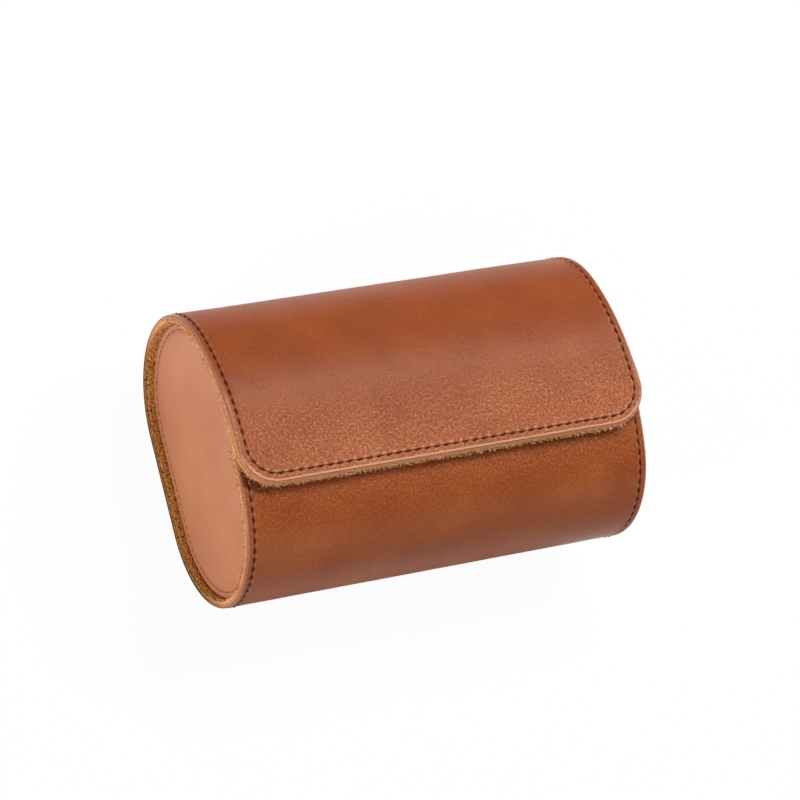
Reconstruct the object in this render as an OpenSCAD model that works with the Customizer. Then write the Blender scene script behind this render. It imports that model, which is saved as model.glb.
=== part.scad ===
// Leather travel roll for two watches, closed by a flap. Millimetres.
// X runs along the roll, Y towards its back and Z up. The origin lies on the
// surface that the roll rests on, under the middle of the roll.

/* [Roll] */
// Length of the roll from lip to lip
roll_l = 140; // [130:1:160]
// Radius of the front and back rounds, on the outer leather
round_r = 30.4; // [29:0.1:33]
// Flat stretch of the base between the two rounds
base_flat = 32.4; // [29:0.1:38]
// Radius of the crowned top, on the outer leather of the lid
crown_r = 69; // [64:1:80]
// Turn from the lowest line of the back round up to the lid's fold, in degrees
hinge_rise = 38; // [34:1:46]

/* [Leather, board and lining] */
// Thickness of the outer leather
leather_t = 1.3; // [1:0.1:1.6]
// Thickness of the stiffening board
board_t = 1; // [0.9:0.1:1.4]
// Thickness of the suede lining
lining_t = 1; // [0.7:0.1:1.3]
// Distance that the boards keep from a sewn edge
board_edge = 3.4; // [3:0.1:3.8]
// Distance that the boards keep from a fold
fold_free = 4.5; // [3:0.5:6]
// Glue line on either side of a board, and round each panel
glue_gap = 0.1; // [0.1:0.05:0.2]

/* [Flap] */
// Distance of the flap's edge behind the front end of the crown, along the crown
flap_setback = 10.5; // [8:0.5:14]
// Length of front wall that the flap covers
flap_overlap = 16; // [16:0.5:20]
// Distance of the flap's fold behind the front wall's edge
fold_behind = 6; // [5:0.5:9]
// Radius of the flap's two corners, in plan
flap_corner_r = 12; // [6:0.5:14]
// Gap between the lined flap and the front wall
flap_gap = 0.7; // [0.5:0.1:2]

/* [Closure] */
// Diameter of each hidden magnet
magnet_d = 8; // [6:0.5:8]
// Thickness of each hidden magnet
magnet_t = 0.7; // [0.4:0.1:0.7]
// Distance of the magnets from the middle of the roll
magnet_x = 42; // [20:1:54]
// Clearance round each magnet in its board
magnet_play = 0.1; // [0.05:0.05:0.4]

/* [End panels] */
// Depth of the end panels behind the lip
panel_recess = 2.5; // [1.5:0.1:4]
// Thickness of the panel's leather, which is also turned over its rim
panel_leather_t = 1.2; // [0.8:0.1:1.6]
// Thickness of the panel's board
panel_board_t = 1.5; // [1:0.1:2.5]
// Thickness of the panel's suede on the inside
panel_suede_t = 0.8; // [0.5:0.1:1.2]
// Step at the rim of the panel's face, where its leather turns over the board
rim_step = 0.5; // [0.2:0.1:0.7]
// Distance of the panel's seam from its rim
panel_seam = 2.3; // [1.6:0.1:4]
// Gap between a panel's rim and the lid's lining
lid_gap = 0.4; // [0.3:0.1:1]
// Play between the raised lining and the end panels, along the roll
lining_play = 0.6; // [0.3:0.1:1.5]

/* [Divider] */
// Thickness of the divider's board
divider_board_t = 1.2; // [1:0.1:3]
// Thickness of the divider's suede
divider_suede_t = 0.8; // [0.5:0.1:1.5]
// Gap between the divider and the lid's lining
divider_gap = 0.9; // [0.5:0.1:3]

/* [Watch cushions] */
// Width of a cushion, front to back
cushion_w = 62; // [54:1:66]
// Height of a cushion
cushion_h = 46; // [40:1:48]
// Distance that a cushion keeps from the panel and the divider beside it
cushion_play = 2.6; // [1:0.1:6]
// Distance from a cushion down to the lining
cushion_seat = 0.3; // [0.1:0.1:0.6]
// How far the band is drawn in at its two seams
cushion_draw = 2.6; // [1:0.1:4]
// How far the end faces swell beyond their seams
cushion_dome = 3.2; // [1:0.1:5]
// Thickness of the cushion's suede
cover_t = 1; // [0.6:0.1:1.5]
// Play of the foam in its suede
foam_play = 0.1; // [0.1:0.05:0.5]

/* [Stitching] */
// Distance of a seam from the leather's edge
seam_inset = 2.15; // [1.8:0.05:2.6]
// Distance from one stitch to the next
stitch_pitch = 3.3; // [2.8:0.1:4.5]
// Length of a stitch
stitch_l = 2.3; // [1.6:0.1:2.6]
// Width of a stitch
stitch_w = 0.5; // [0.4:0.05:0.7]
// Thickness of a stitch
stitch_t = 0.25; // [0.2:0.05:0.3]
// Width of the groove that a row of stitches lies in
groove_w = 0.9; // [0.8:0.05:1.2]
// Depth of that groove
groove_depth = 0.4; // [0.35:0.05:0.6]
// Width of the fine thread on panels and cushions
fine_thread_w = 0.5; // [0.3:0.05:0.7]
// Thickness of that thread
fine_thread_t = 0.2; // [0.1:0.05:0.3]

/* [Hidden] */
$fn = 96;
// Turn between the edges of a curved wall's facets, in degrees
arc_step = 5;
// Least share of that turn which a facet at the end of an arc may span
least_step = 0.05;
// Overshoot of a cutting shape past the surface that it cuts
over = 0.1;
// Clearance between a thread and the leather that it lies on
thread_play = 0.05;

// Depths in the walls, counted inwards from the outer leather
edge_wall = leather_t + lining_t;
board_d = leather_t + glue_gap;
board_e = board_d + board_t;
pocket_e = board_e + glue_gap;
board_wall = pocket_e + lining_t;
flap_rise = board_wall + flap_gap;
wall_r = crown_r - flap_rise;

// The section: a flat base, two rounds and a crown that is tangent to both
front_c = [-base_flat / 2, round_r];
back_c = [base_flat / 2, round_r];
back_reach = crown_r - round_r;
front_reach = wall_r - round_r;
crown_y = (front_reach * front_reach - back_reach * back_reach) / (2 * base_flat);
crown_z = round_r - sqrt(pow(back_reach, 2) - pow(base_flat / 2 - crown_y, 2));
crown_c = [crown_y, crown_z];
back_turn = atan2(round_r - crown_z, base_flat / 2 - crown_y);
front_turn = atan2(round_r - crown_z, -base_flat / 2 - crown_y);

// Turns, in degrees, at which the walls end or fold
hinge_a = hinge_rise - 90;
tip_a = front_turn - turn(flap_setback, crown_r);
wall_end_a = tip_a - turn(flap_overlap, wall_r);
fold_a = tip_a - turn(flap_overlap + fold_behind, crown_r);
magnet_a = (tip_a + wall_end_a) / 2;
hinge_free_a = turn(fold_free, round_r);
flap_free_a = turn(fold_free, crown_r);
wall_edge_a = turn(board_edge, wall_r);
wrap_a = turn(lining_t, crown_r);
hinge_wrap_a = turn(lining_t, round_r);

// Places along the roll
panel_t = panel_leather_t + panel_board_t + panel_suede_t;
panel_face_x = roll_l / 2 - panel_recess;
panel_inner_x = panel_face_x - panel_t;
raised_l = 2 * (panel_inner_x - lining_play);
board_l = raised_l - 2 * lining_t;
seam_x = roll_l / 2 - seam_inset;
divider_t = divider_board_t + 2 * divider_suede_t;
bay_l = panel_inner_x - divider_t / 2;
cushion_l = bay_l - 2 * cushion_play;
cushion_x = divider_t / 2 + bay_l / 2;
cushion_z = board_wall + cushion_seat + cushion_h / 2;

// Depth of a stitch's middle under the leather's surface
stitch_depth = groove_depth - stitch_t / 2 - thread_play;
// Depths of a panel's rim: where it is fixed to the case, and under the lid
panel_d = edge_wall + glue_gap;
panel_e = edge_wall + lid_gap;
divider_d = board_wall + glue_gap;
divider_e = board_wall + divider_gap;

// Places in the flap's plan
tip_y = crown_c[0] + crown_r * cos(tip_a);
fold_y = crown_c[0] + crown_r * cos(fold_a);
// Height of the columns that cut the flap to its plan
column_h = 2 * round_r + crown_r;

// Shape of a cushion: its oval's exponent, its points and its rings
oval_power = 2.3;
oval_n = 24;
dome_steps = [0.55, 0.88];
band_steps = [-1, -0.8, -0.45, 0, 0.45, 0.8, 1];
draw_power = 2.5;

wrap_colour = [0.60, 0.29, 0.13];
panel_colour = [0.72, 0.45, 0.33];
suede_colour = [0.80, 0.56, 0.27];
cushion_colour = [0.84, 0.66, 0.42];
board_colour = [0.45, 0.38, 0.30];
thread_colour = [0.22, 0.10, 0.06];
magnet_colour = [0.72, 0.72, 0.74];
foam_colour = [0.90, 0.88, 0.80];

// Turn, in degrees, that spans a length of arc
function turn(length, r) = length / r * 180 / PI;

function reversed(v) = [for (i = [len(v) - 1:-1:0]) v[i]];

// Turns from a to b: both ends, and every multiple of arc_step between them, so
// that the facets of neighbouring layers lie on each other
function turns(a, b) =
    let (low = min(a, b), high = max(a, b),
        between = [for (i = [ceil(low / arc_step + least_step):1:floor(high / arc_step - least_step)])
            i * arc_step])
    concat([a], a < b ? between : reversed(between), [b]);

// Points of an arc round c, from turn a to turn b
function arc(c, r, a, b) = [for (t = turns(a, b)) c + r * [cos(t), sin(t)]];

// Paths in the section at depth d under the outer leather, from the hinge forwards
function case_path(d, a, b) = concat(
    arc(back_c, round_r - d, a, -90),
    arc(front_c, round_r - d, 270, front_turn),
    arc(crown_c, wall_r - d, front_turn, b));
function lid_path(d, a, b) = concat(
    arc(back_c, round_r - d, a, back_turn),
    arc(crown_c, crown_r - d, back_turn, b));

// Outline of a cross panel: depth d where it is fixed to the case, e under the lid.
// It steps down past the front wall's edge, which the flap rises over.
function panel_path(d, e) = concat(
    arc(back_c, round_r - d, -90, hinge_a),
    arc(back_c, round_r - e, hinge_a, back_turn),
    arc(crown_c, crown_r - e, back_turn, wall_end_a - turn(flap_rise - e + d, wall_r)),
    arc(crown_c, wall_r - d, wall_end_a, front_turn),
    arc(front_c, round_r - d, front_turn, 270));

module along_x(length, x = 0)
    translate([x - length / 2, 0, 0]) rotate([90, 0, 90]) linear_extrude(height = length) children();

// Layers of the walls in the section, from depth d to depth e and from turn a to b
module case_layer(d, e, a = hinge_a, b = wall_end_a)
    polygon(concat(case_path(d, a, b), reversed(case_path(e, a, b))));

module lid_layer(d, e, a = hinge_a, b = fold_a)
    polygon(concat(lid_path(d, a, b), reversed(lid_path(e, a, b))));

module crown_layer(r, d, e, a, b)
    polygon(concat(arc(crown_c, r - d, a, b), reversed(arc(crown_c, r - e, a, b))));

// Plan of the flap, inset from its sewn edges and running on past the fold
module flap_plan(inset = 0) {
    r = flap_corner_r - inset;
    half = roll_l / 2 - inset;
    front = tip_y + inset;
    translate([-half, front + r]) square([2 * half, fold_y + over - front - r]);
    translate([r - half, front]) square([2 * (half - r), 2 * r]);
    for (side = [-1, 1]) translate([side * (half - r), front + r]) circle(r);
}

module flap_column(inset = 0) linear_extrude(height = column_h) flap_plan(inset);

// Places children at both magnets, with their Z along the crown's radius
module at_magnets(r) for (side = [-1, 1])
    translate([side * magnet_x, crown_y + r * cos(magnet_a), crown_z + r * sin(magnet_a)])
        rotate([magnet_a - 90, 0, 0]) children();

module magnets(r) at_magnets(r - (board_d + board_e) / 2)
    cylinder(h = magnet_t, r = magnet_d / 2, center = true);

module magnet_pockets(r) at_magnets(r - (board_d + board_e) / 2)
    cylinder(h = board_t + 2 * over, r = magnet_d / 2 + magnet_play, center = true);

// One stitch at a turn of an arc round c, the size given as [along X, along the arc, thick]
module stitch_at(c, r, a, x, size)
    translate([x, c[0] + r * cos(a), c[1] + r * sin(a)]) rotate([a - 90, 0, 0]) cube(size, center = true);

// Rows of stitches near both ends of the roll, along an arc of the section
module side_rows(c, r, a, b) {
    n = floor(abs(b - a) / turn(stitch_pitch, r));
    for (side = [-1, 1], i = [0:n - 1])
        stitch_at(c, r - stitch_depth, a + (b - a) * (i + 0.5) / n, side * seam_x,
            [stitch_w, stitch_l, stitch_t]);
}

// Case: the base, the front wall and the strip of back up to the lid's fold

module case_leather() color(wrap_colour) difference() {
    along_x(roll_l) case_layer(0, leather_t);
    for (side = [-1, 1]) along_x(groove_w, side * seam_x) case_layer(-over, groove_depth);
    along_x(2 * seam_x) crown_layer(wall_r, -over, groove_depth,
        wall_end_a + turn(seam_inset - groove_w / 2, wall_r),
        wall_end_a + turn(seam_inset + groove_w / 2, wall_r));
}

// The stretch of wall that has a board, from depth d to depth e
module case_board_layer(d, e)
    case_layer(d, e, hinge_a - hinge_free_a, wall_end_a + wall_edge_a);

module case_board() color(board_colour) difference() {
    along_x(board_l) case_board_layer(board_d, board_e);
    magnet_pockets(wall_r);
}

module case_lining() color(suede_colour) difference() {
    union() {
        along_x(roll_l) case_layer(leather_t, edge_wall);
        along_x(raised_l) case_layer(leather_t, board_wall,
            hinge_a - hinge_free_a + hinge_wrap_a, wall_end_a + wall_edge_a - wrap_a);
    }
    along_x(board_l) case_board_layer(leather_t - over, pocket_e);
}

module case_side_stitching() color(thread_colour) {
    base_n = floor(base_flat / stitch_pitch);
    side_rows(back_c, round_r, -90, hinge_a);
    for (side = [-1, 1], i = [0:base_n - 1])
        translate([side * seam_x, base_flat * ((i + 0.5) / base_n - 0.5), stitch_depth])
            cube([stitch_w, stitch_l, stitch_t], center = true);
    side_rows(front_c, round_r, front_turn, 270);
    side_rows(crown_c, wall_r, wall_end_a + turn(2 * seam_inset, wall_r), front_turn);
}

module front_edge_stitching() color(thread_colour) {
    row_l = 2 * (seam_x - stitch_pitch);
    n = floor(row_l / stitch_pitch);
    for (i = [0:n - 1])
        stitch_at(crown_c, wall_r - stitch_depth, wall_end_a + turn(seam_inset, wall_r),
            row_l * ((i + 0.5) / n - 0.5), [stitch_l, stitch_w, stitch_t]);
}

module case_magnets() color(magnet_colour) magnets(wall_r);

// End panels: a leather cup with a bevelled rim, a board in it and suede behind it

// A slice of an end panel between two depths behind its face, inset from its rim
module panel_slice(side, near, far, inset = 0)
    along_x(far - near, side * (panel_face_x - (near + far) / 2))
        polygon(panel_path(panel_d + inset, panel_e + inset));

module panel_leather(side) color(panel_colour) difference() {
    union() {
        panel_slice(side, 0, rim_step, rim_step);
        panel_slice(side, rim_step, panel_leather_t + panel_board_t);
    }
    panel_slice(side, panel_leather_t, panel_leather_t + panel_board_t + over, panel_leather_t);
}

module panel_board(side) color(board_colour)
    panel_slice(side, panel_leather_t, panel_leather_t + panel_board_t, panel_leather_t + glue_gap);

module panel_suede(side) color(suede_colour)
    panel_slice(side, panel_leather_t + panel_board_t, panel_t);

module panel_stitching(side) color(thread_colour) difference() {
    panel_slice(side, -fine_thread_t, 0, panel_seam - fine_thread_w / 2);
    panel_slice(side, -fine_thread_t - over, over, panel_seam + fine_thread_w / 2);
}

// Divider: a board between the two bays, with a sheet of suede on either side

module divider_layer(t, x = 0) along_x(t, x) polygon(panel_path(divider_d, divider_e));

module divider_board() color(board_colour) divider_layer(divider_board_t);

module divider_suede() color(suede_colour) for (side = [-1, 1])
    divider_layer(divider_suede_t, side * (divider_board_t + divider_suede_t) / 2);

// Lid: the back round and the crown, from the hinge up to the flap's fold

module lid_leather() color(wrap_colour) difference() {
    along_x(roll_l) lid_layer(0, leather_t);
    for (side = [-1, 1]) along_x(groove_w, side * seam_x) lid_layer(-over, groove_depth);
}

module lid_board_layer(d, e)
    lid_layer(d, e, hinge_a + hinge_free_a, fold_a - flap_free_a);

module lid_board() color(board_colour) along_x(board_l) lid_board_layer(board_d, board_e);

module lid_lining() color(suede_colour) difference() {
    union() {
        along_x(roll_l) lid_layer(leather_t, edge_wall);
        along_x(raised_l) lid_layer(leather_t, board_wall,
            hinge_a + hinge_free_a - hinge_wrap_a, fold_a - flap_free_a + wrap_a);
    }
    along_x(board_l) lid_board_layer(leather_t - over, pocket_e);
}

module lid_side_stitching() color(thread_colour) {
    side_rows(back_c, round_r, hinge_a, back_turn);
    side_rows(crown_c, crown_r, back_turn, fold_a);
}

// Flap: the free end of the wrap, with two round corners

module flap_leather() color(wrap_colour) difference() {
    intersection() {
        along_x(roll_l) crown_layer(crown_r, 0, leather_t, fold_a, tip_a);
        flap_column();
    }
    intersection() {
        along_x(roll_l) crown_layer(crown_r, -over, groove_depth, fold_a - flap_free_a, tip_a);
        difference() {
            flap_column(seam_inset - groove_w / 2);
            flap_column(seam_inset + groove_w / 2);
        }
    }
}

module flap_board_block(d, e) intersection() {
    along_x(board_l) crown_layer(crown_r, d, e, fold_a + flap_free_a, tip_a);
    flap_column(board_edge);
}

module flap_board() color(board_colour) difference() {
    flap_board_block(board_d, board_e);
    magnet_pockets(crown_r);
}

module flap_lining() color(suede_colour) difference() {
    union() {
        intersection() {
            along_x(roll_l) crown_layer(crown_r, leather_t, edge_wall, fold_a, tip_a);
            flap_column();
        }
        intersection() {
            along_x(raised_l) crown_layer(crown_r, leather_t, board_wall,
                fold_a + flap_free_a - wrap_a, tip_a);
            flap_column(board_edge - lining_t);
        }
    }
    flap_board_block(leather_t - over, pocket_e);
}

// A stitch of the flap's seam at a place in plan, turned by its heading there
module flap_stitch(x, y, heading) {
    a = acos((y - crown_y) / crown_r);
    translate([x, y - stitch_depth * cos(a), crown_z + (crown_r - stitch_depth) * sin(a)])
        rotate([a - 90, 0, 0]) rotate([0, 0, heading]) cube([stitch_l, stitch_w, stitch_t], center = true);
}

module flap_stitching() color(thread_colour) {
    r = flap_corner_r - seam_inset;
    corner_x = seam_x - r;
    corner_y = tip_y + flap_corner_r;
    side_l = fold_y - corner_y;
    side_n = floor(side_l / stitch_pitch);
    corner_n = floor(PI / 2 * r / stitch_pitch);
    edge_n = floor(2 * corner_x / stitch_pitch);
    for (side = [-1, 1]) {
        for (i = [0:1:side_n - 1]) flap_stitch(side * seam_x, corner_y + side_l * (i + 0.5) / side_n, 90);
        for (i = [0:corner_n - 1]) {
            t = 90 * (i + 0.5) / corner_n;
            flap_stitch(side * (corner_x + r * cos(t)), corner_y - r * sin(t), side * (90 - t));
        }
    }
    for (i = [0:edge_n - 1])
        flap_stitch(2 * corner_x * ((i + 0.5) / edge_n - 0.5), corner_y - r, 0);
}

module flap_magnets() color(magnet_colour) magnets(crown_r);

// Cushions: foam in a suede band and two suede end faces, sewn where the band is drawn in

// Rings of a cushion as [x, width, height], for a body that is inset by t
function dome_rings(t) = [for (f = reversed(dome_steps))
    [cushion_l / 2 - t - cushion_dome * (1 - sqrt(1 - f * f)),
        f * (cushion_w - 2 * cushion_draw - 2 * t), f * (cushion_h - 2 * cushion_draw - 2 * t)]];
function band_rings(t) = [for (u = band_steps) let (draw = cushion_draw * pow(abs(u), draw_power))
    [u * (cushion_l / 2 - t - cushion_dome), cushion_w - 2 * (draw + t), cushion_h - 2 * (draw + t)]];
function flipped(rings) = [for (v = reversed(rings)) [-v[0], v[1], v[2]]];

// One coordinate of the cushion's oval
function oval(size, share) = size / 2 * sign(share) * pow(abs(share), 2 / oval_power);
function ring_points(ring) = [for (j = [0:oval_n - 1]) let (t = 360 * j / oval_n)
    [ring[0], oval(ring[1], cos(t)), oval(ring[2], sin(t))]];
// Triangles between the rings that start at points p and q
function ring_faces(p, q) = [for (j = [0:oval_n - 1]) let (k = (j + 1) % oval_n)
    each [[p + j, q + j, q + k], [p + j, q + k, p + k]]];

// A solid through a list of rings, closed at both ends by a point on its axis
module ring_chain(start_x, rings, end_x) {
    points = concat([[start_x, 0, 0]], [for (v = rings) each ring_points(v)], [[end_x, 0, 0]]);
    last = len(points) - 1;
    polyhedron(points, concat(
        [for (j = [0:oval_n - 1]) [0, 1 + j, 1 + (j + 1) % oval_n]],
        [for (i = [0:len(rings) - 2]) each ring_faces(1 + i * oval_n, 1 + (i + 1) * oval_n)],
        [for (j = [0:oval_n - 1]) [last, last - oval_n + (j + 1) % oval_n, last - oval_n + j]]));
}

// A solid through a list of rings that closes on its first ring
module ring_loop(rings) {
    n = len(rings);
    polyhedron([for (v = rings) each ring_points(v)],
        [for (i = [0:n - 1]) each ring_faces(i * oval_n, (i + 1) % n * oval_n)]);
}

module place_cushion(side) translate([side * cushion_x, 0, cushion_z]) children();

module cushion_foam(side) color(foam_colour) place_cushion(side) {
    t = cover_t + foam_play;
    ring_chain(t - cushion_l / 2,
        concat(flipped(dome_rings(t)), band_rings(t), dome_rings(t)), cushion_l / 2 - t);
}

module cushion_band(side) color(cushion_colour) place_cushion(side)
    ring_loop(concat(band_rings(0), reversed(band_rings(cover_t))));

module cushion_ends(side) color(cushion_colour) place_cushion(side) for (turned = [0, 1])
    mirror([turned, 0, 0]) ring_chain(cushion_l / 2 - cover_t,
        concat(reversed(dome_rings(cover_t)), [reversed(band_rings(cover_t))[0]],
            [reversed(band_rings(0))[0]], dome_rings(0)),
        cushion_l / 2);

module cushion_stitching(side) color(thread_colour) place_cushion(side) for (turned = [0, 1])
    mirror([turned, 0, 0]) {
        x = cushion_l / 2 - cushion_dome;
        inner = [cushion_w, cushion_h] + 2 * (thread_play - cushion_draw) * [1, 1];
        outer = inner + 2 * fine_thread_t * [1, 1];
        ring_loop([[x, outer[0], outer[1]], [x + fine_thread_w, outer[0], outer[1]],
            [x + fine_thread_w, inner[0], inner[1]], [x, inner[0], inner[1]]]);
    }

case_leather();
case_board();
case_lining();
case_side_stitching();
front_edge_stitching();
case_magnets();
panel_leather(-1);  // left_panel_leather
panel_board(-1);  // left_panel_board
panel_suede(-1);  // left_panel_suede
panel_stitching(-1);  // left_panel_stitching
panel_leather(1);  // right_panel_leather
panel_board(1);  // right_panel_board
panel_suede(1);  // right_panel_suede
panel_stitching(1);  // right_panel_stitching
divider_board();
divider_suede();
lid_leather();
lid_board();
lid_lining();
lid_side_stitching();
flap_leather();
flap_board();
flap_lining();
flap_stitching();
flap_magnets();
cushion_foam(-1);  // left_cushion_foam
cushion_band(-1);  // left_cushion_band
cushion_ends(-1);  // left_cushion_ends
cushion_stitching(-1);  // left_cushion_stitching
cushion_foam(1);  // right_cushion_foam
cushion_band(1);  // right_cushion_band
cushion_ends(1);  // right_cushion_ends
cushion_stitching(1);  // right_cushion_stitching
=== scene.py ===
import math

import bmesh
import bpy
import numpy as np
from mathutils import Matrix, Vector, noise


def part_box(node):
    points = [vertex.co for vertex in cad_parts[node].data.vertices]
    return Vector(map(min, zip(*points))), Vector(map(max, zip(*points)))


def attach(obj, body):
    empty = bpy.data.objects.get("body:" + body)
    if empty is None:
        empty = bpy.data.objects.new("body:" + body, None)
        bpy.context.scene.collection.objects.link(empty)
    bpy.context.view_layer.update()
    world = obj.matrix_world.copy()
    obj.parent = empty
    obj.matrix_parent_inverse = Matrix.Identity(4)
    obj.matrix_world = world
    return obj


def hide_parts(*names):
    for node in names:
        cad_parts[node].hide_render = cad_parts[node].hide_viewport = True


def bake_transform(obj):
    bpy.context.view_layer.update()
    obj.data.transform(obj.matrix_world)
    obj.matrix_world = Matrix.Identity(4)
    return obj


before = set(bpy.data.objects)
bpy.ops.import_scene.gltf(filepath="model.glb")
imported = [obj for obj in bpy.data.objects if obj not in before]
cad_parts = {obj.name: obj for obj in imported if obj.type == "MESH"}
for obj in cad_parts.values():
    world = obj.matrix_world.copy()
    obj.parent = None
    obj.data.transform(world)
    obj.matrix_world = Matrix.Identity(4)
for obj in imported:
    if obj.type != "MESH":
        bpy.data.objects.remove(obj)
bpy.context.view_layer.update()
mm = 0.001

# The photograph's view: a long lens from the left front and above. The roll lies along
# the frame's own axes, so only the camera is turned.
camera = bpy.data.objects.new("camera", bpy.data.cameras.new("camera"))
camera.location = (-0.48730, -0.20686, 1.03003)
camera.rotation_euler = [math.radians(a) for a in (17.4324, -22.5617, -15.6164)]
camera.data.sensor_width = 36
camera.data.lens = 160.099
bpy.context.scene.collection.objects.link(camera)
bpy.context.scene.camera = camera

# The wrap is one strip of cognac leather, 1.3 mm thick. It starts at the front wall's upper
# edge, goes down the front, under the base, up the back and over the top, and ends in the
# flap. Each stretch is (centre, radius, first turn, last turn), in the section's y and z.
wrap_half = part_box("case_leather")[1].x
leather_t = 1.3 * mm
round_r = 30.4 * mm
base_half = 16.2 * mm
crown_r = 69 * mm
wall_r = crown_r - 4.2 * mm
tip_above_round = 10.5 * mm
overlap = 16 * mm
flap_l = 22 * mm
back_reach = crown_r - round_r
front_reach = wall_r - round_r
crown_y = (front_reach ** 2 - back_reach ** 2) / (4 * base_half)
crown_z = round_r - math.sqrt(back_reach ** 2 - (base_half - crown_y) ** 2)
crown_c = (crown_y, crown_z)
front_c = (-base_half, round_r)
back_c = (base_half, round_r)
back_turn = math.atan2(round_r - crown_z, base_half - crown_y)
front_turn = math.atan2(round_r - crown_z, -base_half - crown_y)
tip_turn = front_turn - tip_above_round / crown_r
wall_turn = tip_turn - overlap / wall_r
hinge_turn = math.radians(-52)
join_turn = math.radians(-10)
stretches = [(crown_c, wall_r, wall_turn, front_turn),
             (front_c, round_r, front_turn, 1.5 * math.pi),
             (None, 0, -base_half, base_half),
             (back_c, round_r, -0.5 * math.pi, back_turn),
             (crown_c, crown_r, back_turn, tip_turn)]
lengths = [abs(b - a) * (r or 1) for c, r, a, b in stretches]
starts = np.concatenate([[0], np.cumsum(lengths)])
wrap_l = starts[-1]
hinge_s = starts[3] + (hinge_turn + 0.5 * math.pi) * round_r
join_s = starts[3] + (join_turn + 0.5 * math.pi) * round_r
fold_s = wrap_l - flap_l


def on_wrap(s, depth):
    """The section's y and z at a length s along the strip's outside, at a depth under it."""
    y, z = np.zeros_like(s), np.zeros_like(s)
    which = np.clip(np.searchsorted(starts, s, side="right") - 1, 0, len(stretches) - 1)
    for i, (centre, radius, first, last) in enumerate(stretches):
        here = which == i
        along = s[here] - starts[i]
        if centre is None:
            y[here], z[here] = first + along, depth[here]
        else:
            turn = first + math.copysign(1, last - first) * along / radius
            y[here] = centre[0] + (radius - depth[here]) * np.cos(turn)
            z[here] = centre[1] + (radius - depth[here]) * np.sin(turn)
    return y, z


# The strip is cut flat, in its length s and its width x, and then bent to the section. Rings
# follow its sewn edges, coarser rows fill its middle, and the flap's cut edge slants out. It
# comes in two sheets that meet behind the lid, as each can bend over one fold only.
seam_inset = 2.4 * mm
fine_step = 0.42 * mm
coarse = 4
slant_reach = 0.7 * mm
slant_from = 0.35 * mm
slant_most = 0.9 * mm
slant_before_fold = 6 * mm
slant_grows_over = 14 * mm


def strap_edge(cut, sewn, corner_r):
    """s and x along the sewn edges, from the cut and back to it, and the way out of the sheet."""
    toward = math.copysign(1, sewn - cut)
    side_n, corner_n, front_n = strap_counts(cut, sewn, corner_r)
    down = cut + (sewn - toward * corner_r - cut) * np.arange(side_n) / side_n
    turn = np.linspace(0, math.pi / 2, corner_n + 1)
    across = np.linspace(-1, 1, front_n + 1)[1:-1] * (wrap_half - corner_r)
    s = np.concatenate([down, sewn - toward * corner_r * (1 - np.sin(turn))])
    x = np.concatenate([np.full(side_n, -wrap_half), corner_r * (1 - np.cos(turn)) - wrap_half])
    out_s = np.concatenate([np.zeros(side_n), toward * np.sin(turn)])
    out_x = np.concatenate([np.full(side_n, -1), -np.cos(turn)])
    middle = np.ones_like(across)
    return (np.concatenate([s, middle * sewn, s[::-1]]),
            np.concatenate([x, across, -x[::-1]]),
            np.concatenate([out_s, middle * toward, out_s[::-1]]),
            np.concatenate([out_x, middle * 0, -out_x[::-1]]))


def inside_edge(edge, inset):
    """The line at an inset from an edge."""
    s, x, out_s, out_x = edge
    return s - out_s * inset, x - out_x * inset


def strap_counts(cut, sewn, corner_r):
    """How many steps the side, the corner and the sewn end take, in whole coarse steps."""
    stretch_l = (abs(sewn - cut) - corner_r, math.pi / 2 * corner_r, 2 * (wrap_half - corner_r))
    return [coarse * max(1, round(length / (coarse * fine_step))) for length in stretch_l]


def run_along(s, x):
    """Length along a line of points."""
    return np.concatenate([[0], np.cumsum(np.hypot(np.diff(s), np.diff(x)))])


def flare(s):
    """How far the cut edge slants out: not at all behind the fold, and fully round the flap."""
    return soft_step((s - fold_s + slant_before_fold) / slant_grows_over)


def soft_step(value):
    value = np.clip(value, 0, 1)
    return value * value * (3 - 2 * value)


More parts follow.
